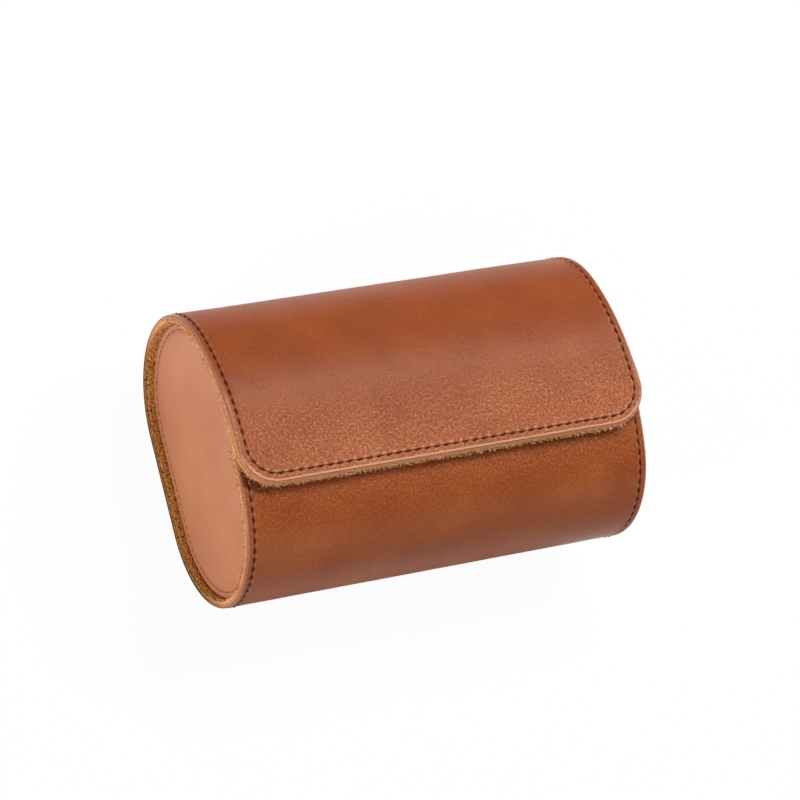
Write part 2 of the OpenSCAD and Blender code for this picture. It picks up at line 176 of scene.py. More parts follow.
def strap_sheet(name, cut, sewn, corner_r, faces, pressed):
    """A closed sheet. faces holds two profiles, outside and inside, of (inset, depth) from the
    edge inwards, and pressed gives the extra depth of each at (side, inset, along, s, x)."""
    side_n, corner_n, front_n = strap_counts(cut, sewn, corner_r)
    edge_line = strap_edge(cut, sewn, corner_r)
    along = run_along(*inside_edge(edge_line, seam_inset))
    flared = flare(edge_line[0])
    last = len(along) - 1
    corner_end = side_n + corner_n
    columns = front_n // coarse
    table, quads, cut_row = [], [], []

    def store(s, x, depth, inset, side):
        first = sum(len(t) for t in table)
        table.append(np.column_stack([s, x, depth, inset, np.full(len(s), side)]))
        return list(range(first, first + len(s)))

    def line(inset, depth):
        near_edge = max(0, 1 - inset / slant_reach)
        slant = min(max(0, depth - slant_from), slant_most)
        return inside_edge(edge_line, inset - flared * near_edge * slant)

    half_depth = (faces[0][0][1] + faces[1][0][1]) / 2
    s, x = line(0, half_depth)
    middle = store(s, x, np.full(len(s), half_depth), np.zeros(len(s)), 0)
    for side, profile in enumerate(faces):
        rings = [middle]
        for inset, depth in profile:
            s, x = line(inset, depth)
            extra = pressed(side, np.full(len(s), inset), along, s, x)
            rings.append(store(s, x, depth + extra, np.full(len(s), inset), side))
        for a, b in zip(rings, rings[1:]):
            quads += [(a[i], a[i + 1], b[i + 1], b[i]) for i in range(last)]
        edge = rings[-1]
        rows = []
        for i in range(0, corner_end, coarse):
            share = np.arange(1, columns) / columns
            row_s = np.full(columns - 1, s[i])
            row_x = x[i] + (x[last - i] - x[i]) * share
            inset = np.minimum(wrap_half - abs(row_x), abs(sewn - row_s))
            extra = pressed(side, inset, np.zeros_like(inset), row_s, row_x)
            inner = store(row_s, row_x, profile[-1][1] + extra, inset, side)
            rows.append([edge[i]] + inner + [edge[last - i]])
        rows.append([edge[i] for i in range(corner_end, last - corner_end + 1, coarse)])
        for r, (a, b) in enumerate(zip(rows, rows[1:])):
            i = r * coarse
            for j in range(columns):
                face = [a[j], a[j + 1], b[j + 1], b[j]]
                if r == len(rows) - 2:
                    k = corner_end + j * coarse
                    face[3:3] = [edge[m] for m in range(k + coarse - 1, k, -1)]
                if j == 0:
                    face += [edge[m] for m in range(i + coarse - 1, i, -1)]
                if j == columns - 1:
                    at = face.index(b[j + 1])
                    face[at:at] = [edge[m] for m in range(last - i - 1, last - i - coarse, -1)]
                quads.append(face)
        starts_of_rings, ends_of_rings = [[ring[i] for ring in rings] for i in (0, last)]
        cut_row.append(starts_of_rings + rows[0][1:-1] + ends_of_rings[::-1])
    quads.append(cut_row[0] + cut_row[1][1:-1][::-1])

    s, x, depth, inset, side = np.concatenate(table).T
    y, z = on_wrap(s, depth)
    mesh = bpy.data.meshes.new(name)
    mesh.from_pydata(np.column_stack([x, y, z]).tolist(), [], quads)
    for label, values in (("inset", inset / mm), ("inside", side), ("depth", depth / mm)):
        mark(mesh, label, "value", values)
    corner = np.zeros(len(mesh.loops), int)
    mesh.loops.foreach_get("vertex_index", corner)
    flat = np.column_stack([x[corner], s[corner]]) * pattern_scale
    mesh.uv_layers.new(name="pattern").data.foreach_set("uv", flat.astype(np.float32).ravel())
    return finished(name, mesh)


def mark(mesh, label, kind, values):
    """Notes a number, or a vector, at every point of a mesh."""
    layer = mesh.attributes.new(label, "FLOAT_VECTOR" if kind == "vector" else "FLOAT", "POINT")
    layer.data.foreach_set(kind, np.asarray(values, np.float32).ravel())


def finished(name, mesh, sharp=40):
    """A linked object of the mesh, with its faces turned outwards and its corners kept sharp."""
    shell = bmesh.new()
    shell.from_mesh(mesh)
    bmesh.ops.recalc_face_normals(shell, faces=shell.faces)
    shell.to_mesh(mesh)
    shell.free()
    mesh.shade_smooth()
    mesh.set_sharp_from_angle(angle=math.radians(sharp))
    piece = bpy.data.objects.new(name, mesh)
    bpy.context.scene.collection.objects.link(piece)
    return piece


# The leather is drawn down along the seam and dimples at each needle hole, so that it
# stands up a little between the stitches. Its skin isn't quite even over the boards.
pattern_scale = 10
stitch_pitch = 3.3 * mm
leather_rounding = [(0, 0.76), (0.03, 0.62), (0.06, 0.56), (0.03, 0.50), (0.09, 0.36), (0.20, 0.22),
                    (0.36, 0.11), (0.56, 0.03)]
leather_rings = (0.8, 1.05, 1.35, 1.7, 1.95, 2.12, 2.27, 2.4, 2.53, 2.68, 2.88, 3.1, 3.4, 3.8, 4.3)
leather_outside = leather_rounding + [(inset, 0) for inset in leather_rings]
leather_inside = [(0, 0.85), (0.05, 1.15), (0.25, leather_t / mm), (4.3, leather_t / mm)]
trough_depth, trough_lift, trough_w = 0.20, 0.10, 0.36
hole_depth, hole_w, hole_phase, hole_share = 0.22, 0.3, 0.22, 0.07
swell_height, swell_off, swell_w = 0.16, 0.60, 0.34
outer_height, outer_off, outer_w = 0.04, -0.7, 0.35
seam_reach = 4 * mm
even_until = 2.6
uneven_over = 6
broad_swell = (26 * mm, 0.16 * mm, 3)
small_swell = (9 * mm, 0.05 * mm, 8)


def in_mm(profile):
    return [(a * mm, b * mm) for a, b in profile]


def hump(value, middle, width):
    """1 at the middle, and softly less to either side."""
    return np.exp(-((value - middle) / width) ** 2)


def seam_shape(inset, along, pitch):
    """How deep the leather lies near a seam: a trough, a hole at each end of a stitch, and a
    swell beside the gap between two stitches. The seam's sizes are in millimetres."""
    phase = abs((along / pitch + 0.5) % 1 - 0.5)
    off = (inset - seam_inset) / mm
    gap = np.cos(2 * math.pi * phase)
    trough = (trough_depth - trough_lift * gap) * hump(off, 0, trough_w)
    hole = hole_depth * hump(off, 0, hole_w) * hump(phase, hole_phase, hole_share)
    swell = swell_height * (1 + gap) * hump(off, swell_off, swell_w)
    swell += outer_height * gap * hump(off, outer_off, outer_w)
    return (trough + hole - swell) * mm


def uneven(s, x, reach, amount, seed):
    """A slow, small swell of the skin, the same each run."""
    rise = [noise.noise(Vector((a / reach, b / reach, seed))) for a, b in zip(s, x)]
    return np.array(rise) * amount


def seam_pitch(cut, sewn, corner_r):
    """The run of a sheet's seam, and the pitch that divides it into whole stitches."""
    s, x = inside_edge(strap_edge(cut, sewn, corner_r), seam_inset)
    run = run_along(s, x)
    return s, x, run, run[-1] / round(run[-1] / stitch_pitch)


def leather_pressed(pitch):
    """The depth of the leather's outside, which is uneven away from the seam. Its back is flat."""
    def pressed(side, inset, along, s, x):
        if side == 1:
            return np.zeros_like(s)
        free = np.clip((inset / mm - even_until) / uneven_over, 0, 1)
        seam = np.where(inset < seam_reach, seam_shape(inset, along, pitch), 0)
        return seam + free * (uneven(s, x, *broad_swell) + uneven(s, x, *small_swell))
    return pressed


wall_corner_r = 4.6 * mm
flap_corner_r = 12 * mm
case_end = (join_s, 0, wall_corner_r)
flap_end = (join_s, wrap_l, flap_corner_r)
leather_faces = [in_mm(leather_outside), in_mm(leather_inside)]
case_wrap, lid_wrap = [
    strap_sheet(name, *end, leather_faces, leather_pressed(seam_pitch(*end)[3]))
    for name, end in (("case_wrap", case_end), ("lid_wrap", flap_end))]


def feed(tree, node, sockets):
    """Gives each named socket of a node its value or its link."""
    for key, value in sockets.items():
        if isinstance(value, bpy.types.NodeSocket):
            tree.links.new(value, node.inputs[key])
        else:
            node.inputs[key].default_value = value


def add(tree, kind, sockets=None, **settings):
    """A node of a kind, with its settings, and its sockets each given a value or a link."""
    made = tree.nodes.new(kind)
    for name, value in settings.items():
        setattr(made, name, value)
    feed(tree, made, sockets or {})
    return made


def ramp(tree, factor, *stops):
    """A colour ramp over (place, colour) stops."""
    made = add(tree, "ShaderNodeValToRGB", {"Fac": factor})
    stop = made.color_ramp.elements
    while len(stop) < len(stops):
        stop.new(0.5)
    for element, (place, colour) in zip(stop, stops):
        element.position = place
        element.color = (*colour, 1)
    return made.outputs["Color"]


def mix(tree, factor, a, b, blend="MIX"):
    """Two colours mixed."""
    a, b = [(*colour, 1) if isinstance(colour, tuple) else colour for colour in (a, b)]
    sockets = {0: factor, 6: a, 7: b}
    return add(tree, "ShaderNodeMix", sockets, data_type="RGBA", blend_type=blend).outputs[2]


def reckon(tree, operation, a, b=0.0, clamp=False):
    """A sum on two numbers."""
    made = add(tree, "ShaderNodeMath", {0: a, 1: b}, operation=operation, use_clamp=clamp)
    return made.outputs[0]


def new_material(name):
    material = bpy.data.materials.new(name)
    material.use_nodes = True
    return material, material.node_tree, material.node_tree.nodes["Principled BSDF"]


def attribute(tree, name):
    return add(tree, "ShaderNodeAttribute", attribute_name=name).outputs["Fac"]


def cloud(tree, place, scale, detail=3, roughness=0.5):
    sockets = {"Vector": place, "Scale": scale, "Detail": detail, "Roughness": roughness}
    return add(tree, "ShaderNodeTexNoise", sockets).outputs["Fac"]


def between(tree, value, low, high, first=0.0, last=1.0, way="LINEAR"):
    """Goes from first to last while value goes from low to high."""
    sockets = {"Value": value, "From Min": low, "From Max": high, "To Min": first, "To Max": last}
    return add(tree, "ShaderNodeMapRange", sockets, interpolation_type=way).outputs["Result"]


def times(tree, a, b):
    return reckon(tree, "MULTIPLY", a, b)


def near(tree, value, middle, reach):
    """1 where value is at middle, down to 0 at a reach from it."""
    off = reckon(tree, "ABSOLUTE", reckon(tree, "SUBTRACT", value, middle))
    return reckon(tree, "SUBTRACT", 1, reckon(tree, "DIVIDE", off, reach), clamp=True)


def own_place(tree):
    return add(tree, "ShaderNodeTexCoord").outputs["Object"]


def height_above(tree, low, high, first, last):
    """Goes softly from first to last over a range of heights above the table."""
    height = add(tree, "ShaderNodeSeparateXYZ", {0: own_place(tree)}).outputs["Z"]
    return between(tree, height, low, high, first, last, "SMOOTHSTEP")


def roughen(tree, surface, height, strength, distance):
    """A fine relief, for what is too small to model."""
    sockets = {"Height": height, "Strength": strength, "Distance": distance}
    bump = add(tree, "ShaderNodeBump", sockets)
    tree.links.new(bump.outputs["Normal"], surface.inputs["Normal"])


skin_t = 0.5
# Painted light: the crown and flap tints are painted shade and painted sheen; the seam brown is painted
# shade in the needle holes; the swell and edge colours are painted highlights; the low cut-edge and line
# colours are painted shade near the table.
crown_painted_shade, flap_painted_sheen = (0.86, 0.70, 0.20), (1.30, 1.62, 2.40)
seam_painted_shade = (0.050, 0.012, 0.004)
painted_swell_highlight = (0.60, 0.28, 0.155)
painted_edge_highlight = (0.90, 0.46, 0.29)
cut_edge_shade, cut_high = (0.070, 0.018, 0.006), (0.62, 0.27, 0.12)
skin_line_shade, line_high = (0.055, 0.014, 0.005), (0.36, 0.13, 0.05)


def wrap_leather():
    """Cognac leather: blotched by its dye, grainy on the flap and along the front wall's edge,
    smooth elsewhere, and waxed along its edges. The flap is paler as painted sheen and the crown
    darker as painted shade; the grain's pale specks are partly painted sparkle; the seam's trough
    and needle holes are darkened as painted shade; the swells between the stitches and the edges'
    rounding are paler as painted highlights, most at the flap's front. Its cut edge is raw leather
    under a thin dark line, and darker near the table as painted shade. Insets and depths are in
    millimetres."""
    material, tree, surface = new_material("wrap_leather")
    place = add(tree, "ShaderNodeUVMap", uv_map="pattern").outputs["UV"]
    length = add(tree, "ShaderNodeSeparateXYZ", {0: place}).outputs["Y"]
    inset, depth = attribute(tree, "inset"), attribute(tree, "depth")

    def along(first_s, last_s, first=0.0, last=1.0):
        return between(tree, length, first_s * pattern_scale, last_s * pattern_scale, first, last)

    blotch = cloud(tree, place, 4.5, 4, 0.55)
    pebble = cloud(tree, place, 125, 3, 0.75)
    pore = add(tree, "ShaderNodeTexVoronoi", {"Vector": place, "Scale": 120}, feature="F1")
    pore = pore.outputs["Distance"]
    flap = along(fold_s - 10 * mm, fold_s + 5 * mm)
    crown = reckon(tree, "SUBTRACT", along(starts[3], starts[4] - 10 * mm), flap, clamp=True)
    smooth = reckon(tree, "SUBTRACT", along(16 * mm, 34 * mm), flap, clamp=True)
    grainy = between(tree, smooth, 0, 1, 1.0, 0.3)

    colour = ramp(tree, blotch, (0.30, (0.270, 0.056, 0.0105)), (0.52, (0.314, 0.071, 0.0140)),
                  (0.72, (0.350, 0.087, 0.0180)))
    # Painted light: the crown is darkened and its blue taken out as painted shade, and the flap is made
    # paler and bluer as painted sheen.
    colour = mix(tree, crown, colour, crown_painted_shade, "MULTIPLY")
    colour = mix(tree, along(fold_s, wrap_l), colour, flap_painted_sheen, "MULTIPLY")
    # The grain's pale specks are partly the leather's own grain and partly painted sparkle, a painted
    # highlight.
    grain_and_sparkle = ramp(tree, pebble, (0.38, (0.76, 0.65, 0.55)), (0.50, (1.06, 1.06, 1.06)),
                   (0.62, (1.90, 2.60, 4.80)))
    colour = mix(tree, times(tree, grainy, 0.7), colour, grain_and_sparkle, "MULTIPLY")
    pitted = ramp(tree, pore, (0.15, (1, 1, 1)), (0.75, (0.62, 0.58, 0.56)))
    colour = mix(tree, times(tree, grainy, 0.5), colour, pitted, "MULTIPLY")

    # Painted shade: the seam's trough is darkened.
    near_seam = near(tree, inset, seam_inset / mm, 0.45)
    colour = mix(tree, times(tree, near_seam, 0.3), colour, (0.085, 0.018, 0.005))
    # Painted highlight: the swells between the stitches are made paler, fully at the flap's front and a
    # quarter as much elsewhere.
    inwards = reckon(tree, "GREATER_THAN", inset, 2.2)
    outwards = reckon(tree, "LESS_THAN", inset, 3.5)
    swollen = reckon(tree, "DIVIDE", reckon(tree, "SUBTRACT", -0.09, depth), 0.2, clamp=True)
    highlight_share = along(wrap_l - 8 * mm, wrap_l - 4 * mm, 0.25, 1.0)
    swollen = times(tree, times(tree, inwards, outwards), times(tree, swollen, highlight_share))
    colour = mix(tree, swollen, colour, painted_swell_highlight)
    # Painted shade: the needle holes and the deepest part of the trough are darkened.
    sunk = reckon(tree, "DIVIDE", reckon(tree, "SUBTRACT", depth, 0.12), 0.2, clamp=True)
    colour = mix(tree, times(tree, near_seam, sunk), colour, seam_painted_shade)

    # Painted highlight: the edge's rounding is made paler, most at the flap's front.
    edge_highlight = times(tree, near(tree, inset, 0.38, 0.50), reckon(tree, "LESS_THAN", depth, 0.42))
    colour = mix(tree, times(tree, edge_highlight, highlight_share), colour, painted_edge_highlight)
    # Painted shade: the cut edge and the thin line under the skin are darker near the table.
    raised = height_above(tree, 8 * mm, 30 * mm, 0.0, 1.0)
    at_edge = reckon(tree, "LESS_THAN", inset, 0.32)
    cut_face = times(tree, at_edge, between(tree, depth, skin_t - 0.04, skin_t + 0.04))
    colour = mix(tree, cut_face, colour, mix(tree, raised, cut_edge_shade, cut_high))
    skin_line = times(tree, at_edge, near(tree, depth, skin_t + 0.06, 0.10))
    colour = mix(tree, skin_line, colour, mix(tree, raised, skin_line_shade, line_high))

    rough = between(tree, inset, 0.6, 1.3, 0.22, 0.37)
    for value, share in ((pebble, 0.06), (grainy, 0.06), (cut_face, 0.35)):
        rough = reckon(tree, "ADD", rough, times(tree, value, share))
    waxed = reckon(tree, "SUBTRACT", between(tree, inset, 0.7, 1.2, 1.0, 0.0), cut_face, clamp=True)
    feed(tree, surface, {"Base Color": colour, "Roughness": rough, "Specular IOR Level": 0.22,
                         "Coat Weight": times(tree, waxed, 0.25), "Coat Roughness": 0.2})
    relief = times(tree, reckon(tree, "SUBTRACT", pebble, times(tree, pore, 0.5)), grainy)
    roughen(tree, surface, relief, 0.85, 0.30 * mm)
    return material


leather = wrap_leather()
for piece, nodes in ((case_wrap, ["case_leather"]), (lid_wrap, ["lid_leather", "flap_leather"])):
    piece.data.materials.append(leather)
    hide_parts(*nodes)

# The leather has no board behind it for a few millimetres at the two folds: on both sides of
# the lid's fold, and mostly on the flap's side of the other. The folds' places in y are found,
# and both sheets are fixed where they lie.
hinge_y, fold_y = (float(on_wrap(np.array([s]), np.zeros(1))[0][0]) for s in (hinge_s, fold_s))
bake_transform(case_wrap)
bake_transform(lid_wrap)

# The seams are waxed dark brown thread, 0.6 mm thick, sewn by machine through the leather
# and the suede. Each stitch is a short arch between two needle holes, turned a little.
stitch_l = 1.3 * mm
thread_r = 0.31 * mm
stitch_arch = 0.24 * mm
stitch_sink = 0.13 * mm
stitch_slant = math.radians(18)


def grown_tree(name, *inputs):
    """An empty Geometry Nodes tree with its named inputs, and those inputs' outputs inside it."""
    tree = bpy.data.node_groups.new(name, "GeometryNodeTree")
    tree.interface.new_socket("Geometry", in_out="INPUT", socket_type="NodeSocketGeometry")
    for label, kind, value in inputs:
        made = tree.interface.new_socket(label, in_out="INPUT", socket_type="NodeSocket" + kind)
        if value:
            made.default_value = value
    tree.interface.new_socket("Geometry", in_out="OUTPUT", socket_type="NodeSocketGeometry")
    return tree, add(tree, "NodeGroupInput").outputs


def rod(tree, curve, sides, radius):
    """A thread or a fibre along a curve."""
    ring = add(tree, "GeometryNodeCurvePrimitiveCircle", {"Resolution": sides, "Radius": radius})
    return add(tree, "GeometryNodeCurveToMesh", {
        "Curve": curve.outputs[0], "Profile Curve": ring.outputs[0], "Fill Caps": True}).outputs[0]


def real_row(tree, sockets):
    """One shape on every point, made into real geometry."""
    row = add(tree, "GeometryNodeInstanceOnPoints", sockets)
    return add(tree, "GeometryNodeRealizeInstances", {0: row.outputs[0]}).outputs[0]


def end_tree(tree, shape, material):
    """Gives the shape its material and hands it out."""
    covered = add(tree, "GeometryNodeSetMaterial", {0: shape, "Material": material})
    tree.links.new(covered.outputs[0], add(tree, "NodeGroupOutput").inputs[0])
    return tree


def stitch_tree():
    """Puts one arched stitch on each point, along its `way` and up its `out`."""
    tree, given = grown_tree("stitch_row", ("Length", "Float", stitch_l),
                             ("Thread", "Float", thread_r), ("Arch", "Float", stitch_arch),
                             ("Material", "Material", None))
    half = times(tree, given["Length"], 0.5)
    back, down = times(tree, half, -1), times(tree, given["Arch"], -1)
    ends = [add(tree, "ShaderNodeCombineXYZ", {"X": x, "Z": z}).outputs[0]
            for x, z in ((back, down), (0.0, given["Arch"]), (half, down))]
    arch = add(tree, "GeometryNodeCurveQuadraticBezier",
               {"Resolution": 6, "Start": ends[0], "Middle": ends[1], "End": ends[2]})
    way, out = [add(tree, "GeometryNodeInputNamedAttribute", {"Name": name},
                    data_type="FLOAT_VECTOR").outputs[0] for name in ("way", "out")]
    turned = add(tree, "FunctionNodeAxesToRotation", {"Primary Axis": way, "Secondary Axis": out},
                 primary_axis="X", secondary_axis="Z")
    row = real_row(tree, {"Points": given["Geometry"], "Rotation": turned.outputs[0],
                          "Instance": rod(tree, arch, 7, given["Thread"])})
    smooth = add(tree, "GeometryNodeSetShadeSmooth", {0: row})
    return end_tree(tree, smooth.outputs[0], given["Material"])


def grown(name, seedbed, tree, **inputs):
    """The plain mesh that a Geometry Nodes tree makes of a mesh, which is then thrown away."""
    source = bpy.data.objects.new(name + "_seedbed", seedbed)
    bpy.context.scene.collection.objects.link(source)
    modifier = source.modifiers.new("tree", "NODES")
    modifier.node_group = tree
    for item in tree.interface.items_tree:
        if item.in_out == "INPUT" and item.name in inputs:
            modifier[item.identifier] = inputs[item.name]
    source.update_tag()
    evaluated = source.evaluated_get(bpy.context.evaluated_depsgraph_get())
    mesh = bpy.data.meshes.new_from_object(evaluated)
    mesh.name = name
    bpy.data.objects.remove(source)
    piece = bpy.data.objects.new(name, mesh)
    bpy.context.scene.collection.objects.link(piece)
    return piece


def thread_row(name, points, ways, outs, **sizes):
    """A row of stitches on points, each along its way with its arch towards out."""
    seedbed = bpy.data.meshes.new(name)
    seedbed.from_pydata([tuple(p) for p in points], [], [])
    mark(seedbed, "way", "vector", ways)
    mark(seedbed, "out", "vector", outs)
    return grown(name, seedbed, stitches, **sizes)


def thread_material(name, colour, pale):
    """Waxed twisted thread: its fine ply over its colour, with a dull shine."""
    material, tree, surface = new_material(name)
    ply = cloud(tree, own_place(tree), 2600, 2, 0.5)
    feed(tree, surface, {"Base Color": ramp(tree, ply, (0.35, colour), (0.7, pale)),
                         "Roughness": 0.75, "Specular IOR Level": 0.2})
    roughen(tree, surface, ply, 0.6, 0.05 * mm)
    return material


def unit(vectors):
    return vectors / np.linalg.norm(vectors, axis=-1, keepdims=True)


def wrap_seam(name, end, thread):
    """The stitches of one sheet's seam, in the middle of each pitch along it."""
    s, x, run, pitch = seam_pitch(*end)
    middle = (np.arange(round(run[-1] / pitch)) + 0.5) * pitch
    nip = 0.3 * stitch_pitch

    def spot(length, depth):
        at_s, at_x = np.interp(length, run, s), np.interp(length, run, x)
        y, z = on_wrap(at_s, np.full_like(at_s, depth))
        return np.column_stack([at_x, y, z])

    way = unit(spot(middle + nip, 0) - spot(middle - nip, 0))
    out = unit(spot(middle, -1 * mm) - spot(middle, 0))
    way = way * math.cos(stitch_slant) + np.cross(out, way) * math.sin(stitch_slant)
    return thread_row(name, spot(middle, stitch_sink), way, out, Material=thread)


stitches = stitch_tree()
dark_thread = thread_material("dark_thread", (0.022, 0.006, 0.003), (0.060, 0.019, 0.009))
case_seam = wrap_seam("case_seam", case_end, dark_thread)
lid_seam = wrap_seam("lid_seam", flap_end, dark_thread)
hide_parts("case_side_stitching", "front_edge_stitching")
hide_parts("lid_side_stitching", "flap_stitching")
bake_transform(case_seam)
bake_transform(lid_seam)

# The lining is ochre suede, 1 mm thick, glued to the leather's back and cut flush with it.
# It swells over the boards, which end short of the seams, the folds and the end panels.
lining_outside = [(0.02, 1.55), (0, 1.36), (0.25, 1.32), (4.3, 1.32)]
lining_inside = [(-0.10, 2.0), (0, 2.2), (0.2, 2.32), (0.6, 2.34), (1.0, 2.34), (1.4, 2.34),
                 (1.8, 2.34), (2.2, 2.32), (2.6, 2.32), (3.1, 2.32), (3.6, 2.32), (4.3, 2.32)]
board_rise = 1.2 * mm
board_half = 63 * mm
board_from_end = 2.3 * mm
board_from_fold = 3.2 * mm
nap = 0.06 * mm
nap_reach = 0.75 * mm
inside_nap = 3


def lining_pressed(side, inset, along, s, x):
    """The swell over the boards, with its slopes, and the nap, which is rougher on the inside."""
    ends = np.minimum(abs(s), abs(wrap_l - s)) - board_from_end
    folds = np.minimum(abs(s - hinge_s), abs(s - fold_s)) - board_from_fold
    slopes = ((board_half - abs(x), 2.4 * mm), (ends, 1.4 * mm), (folds, 2.2 * mm))
    rise = math.prod(soft_step(past / slope_l) for past, slope_l in slopes)
    rough = uneven(s, x, nap_reach, nap, 5 + side) * (inside_nap if side else 1)
    return rise * board_rise + rough


lining_faces = [in_mm(lining_outside), in_mm(lining_inside)]
case_lining = strap_sheet("case_suede", *case_end, lining_faces, lining_pressed)
lid_lining = strap_sheet("lid_suede", *flap_end, lining_faces, lining_pressed)


def suede(name, dark, mid, pale, sheet=False):
    """Napped suede: cloudy, with dark hollows. The lining's sheets have a pale cut edge, partly
    its own colour and partly a painted highlight, and dark near the table as painted shade."""
    material, tree, surface = new_material(name)
    if sheet:
        place, scale = add(tree, "ShaderNodeUVMap", uv_map="pattern").outputs["UV"], 1
    else:
        place, scale = own_place(tree), pattern_scale
    brushed = cloud(tree, place, 9 * scale, 3, 0.6)
    brushed = ramp(tree, brushed, (0.35, (0.80, 0.78, 0.75)), (0.65, (1, 1, 1)))
    tuft = cloud(tree, place, 110 * scale, 3, 0.7)
    colour = ramp(tree, tuft, (0.37, dark), (0.50, mid), (0.64, pale))
    colour = mix(tree, 0.5, colour, brushed, "MULTIPLY")
    if sheet:
        # Painted light: the cut edge is pale higher up, partly as a painted highlight, and dark near the
        # table as painted shade.
        low = height_above(tree, 8 * mm, 34 * mm, 1.0, 0.0)
        at_edge = reckon(tree, "LESS_THAN", attribute(tree, "inset"), 0.5)
        cut_highlight_and_shade = mix(tree, low, (0.90, 0.46, 0.21), (0.085, 0.024, 0.007))
        colour = mix(tree, times(tree, at_edge, 0.55), colour, cut_highlight_and_shade)
    feed(tree, surface, {"Base Color": colour, "Roughness": 0.92, "Specular IOR Level": 0.15,
                         "Sheen Weight": 0.3, "Sheen Roughness": 0.4})
    roughen(tree, surface, tuft, 0.9, 0.25 * mm)
    return material


ochre_suede = suede("ochre_suede", (0.080, 0.025, 0.004), (0.78, 0.34, 0.070), (1.0, 0.58, 0.17),
                    sheet=True)
for piece, nodes in ((case_lining, ["case_lining"]), (lid_lining, ["lid_lining", "flap_lining"])):
    piece.data.materials.append(ochre_suede)
    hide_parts(*nodes)

# Loose fibres stand out of the suede's cut edge over the roll's upper half, but not at its
# right end. Shorter tufts of nap stand on the suede inside both end lips, in a suede brighter
# than the lining's as painted light.
fibre_l = 0.95 * mm
fibre_r = 0.055 * mm
fibres_per_m2 = 6e6
frayed_above = 36 * mm
frayed_until = 62 * mm
tuft_l = 0.42 * mm
tuft_r = 0.12 * mm
tufts_per_m2 = 4e6
lip_from = 67.4 * mm


def fibre_tree():
    """Scatters short bent fibres over the faces whose `edge` is set."""
    tree, given = grown_tree(
        "cut_edge_fibres", ("Length", "Float", fibre_l), ("Thickness", "Float", fibre_r),
        ("Per square metre", "Float", fibres_per_m2), ("Seed", "Int", 4), ("Material", "Material", None))
    edge = add(tree, "GeometryNodeInputNamedAttribute", {"Name": "edge"}, data_type="FLOAT")
    chosen = add(tree, "FunctionNodeCompare", {0: edge.outputs[0], 1: 0.5}, operation="GREATER_THAN")
    spots = add(tree, "GeometryNodeDistributePointsOnFaces", {
        "Mesh": given["Geometry"], "Selection": chosen.outputs[0],
        "Density": given["Per square metre"], "Seed": given["Seed"]}).outputs
    bend = times(tree, given["Length"], 0.45)
    knee = add(tree, "ShaderNodeCombineXYZ", {"Z": bend}).outputs[0]
    tip = add(tree, "ShaderNodeCombineXYZ", {"X": bend, "Z": given["Length"]}).outputs[0]
    bent = add(tree, "GeometryNodeCurveQuadraticBezier",
               {"Resolution": 3, "Start": (0, 0, 0), "Middle": knee, "End": tip})
    lean = add(tree, "FunctionNodeRandomValue",
               {"Min": (-0.7, -0.7, -3.14), "Max": (0.7, 0.7, 3.14)}, data_type="FLOAT_VECTOR")
    turned = add(tree, "FunctionNodeRotateRotation", {0: spots["Rotation"], 1: lean.outputs[0]},
                 rotation_space="LOCAL")
    size = add(tree, "FunctionNodeRandomValue", {"Min": 0.45, "Max": 1.35}, data_type="FLOAT")
    row = real_row(tree, {"Points": spots["Points"], "Rotation": turned.outputs[0],
                          "Scale": size.outputs[1],
                          "Instance": rod(tree, bent, 3, given["Thickness"])})
    return end_tree(tree, row, given["Material"])


def noted(mesh, label):
    """The numbers that a mesh holds at its points."""
    values = np.zeros(len(mesh.vertices), np.float32)
    mesh.attributes[label].data.foreach_get("value", values)
    return values


def cut_edge_fibres(name, lining, seed):
    """The fibres of one sheet of lining: long ones on its cut edge, and tufts inside the lips."""
    place = np.zeros(3 * len(lining.vertices), np.float32)
    lining.vertices.foreach_get("co", place)
    x, z = place[::3], place[2::3]
    inset = noted(lining, "inset")
    cut = (inset < 0.15) & (z > frayed_above) & (x < frayed_until)
    lip = (inset > 0.5) & (abs(x) > lip_from) & (noted(lining, "inside") > 0.5)
    pieces = []
    for part, chosen, length, radius, density, material in (
            ("cut", cut, fibre_l, fibre_r, fibres_per_m2, edge_fibre_suede),
            ("lip", lip, tuft_l, tuft_r, tufts_per_m2, fibre_suede)):
        seedbed = lining.copy()
        mark(seedbed, "edge", "value", chosen)
        inputs = {"Length": length, "Thickness": radius, "Per square metre": density, "Seed": seed}
        pieces.append(grown(name + "_" + part, seedbed, fibres, Material=material, **inputs))
    return pieces


fibres = fibre_tree()
# The lip tufts' suede is brighter than the lining's, as painted light.
fibre_suede = suede("fibre_suede", (0.62, 0.26, 0.045), (1.0, 0.52, 0.12), (1.0, 0.74, 0.30))
edge_fibre_suede = suede("edge_fibre_suede", (0.42, 0.15, 0.05), (0.92, 0.46, 0.20),
                         (1.0, 0.76, 0.48))
case_fibres = cut_edge_fibres("case_fibres", case_lining.data, 4)
lid_fibres = cut_edge_fibres("lid_fibres", lid_lining.data, 9)
for piece in [case_lining] + case_fibres:
    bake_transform(piece)
for piece in [lid_lining] + lid_fibres:
    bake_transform(piece)

# Each end panel is a board in tan leather that is turned over its rim, with a line of fine
# stitches inside the rim and suede glued to its back. It is recessed behind the lip.
panel_face_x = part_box("right_panel_leather")[1].x
panel_depths = (2.4 * mm, 2.7 * mm)
panel_middle = (0, 31 * mm)
panel_seam_inset = 2.3 * mm
panel_seam_depth = 0.36 * mm
panel_pitch = 2.5 * mm
outline_step = math.radians(1.5)


def turns(first, last):
    count = max(2, round(abs(last - first) / outline_step))
    return np.linspace(first, last, count + 1)


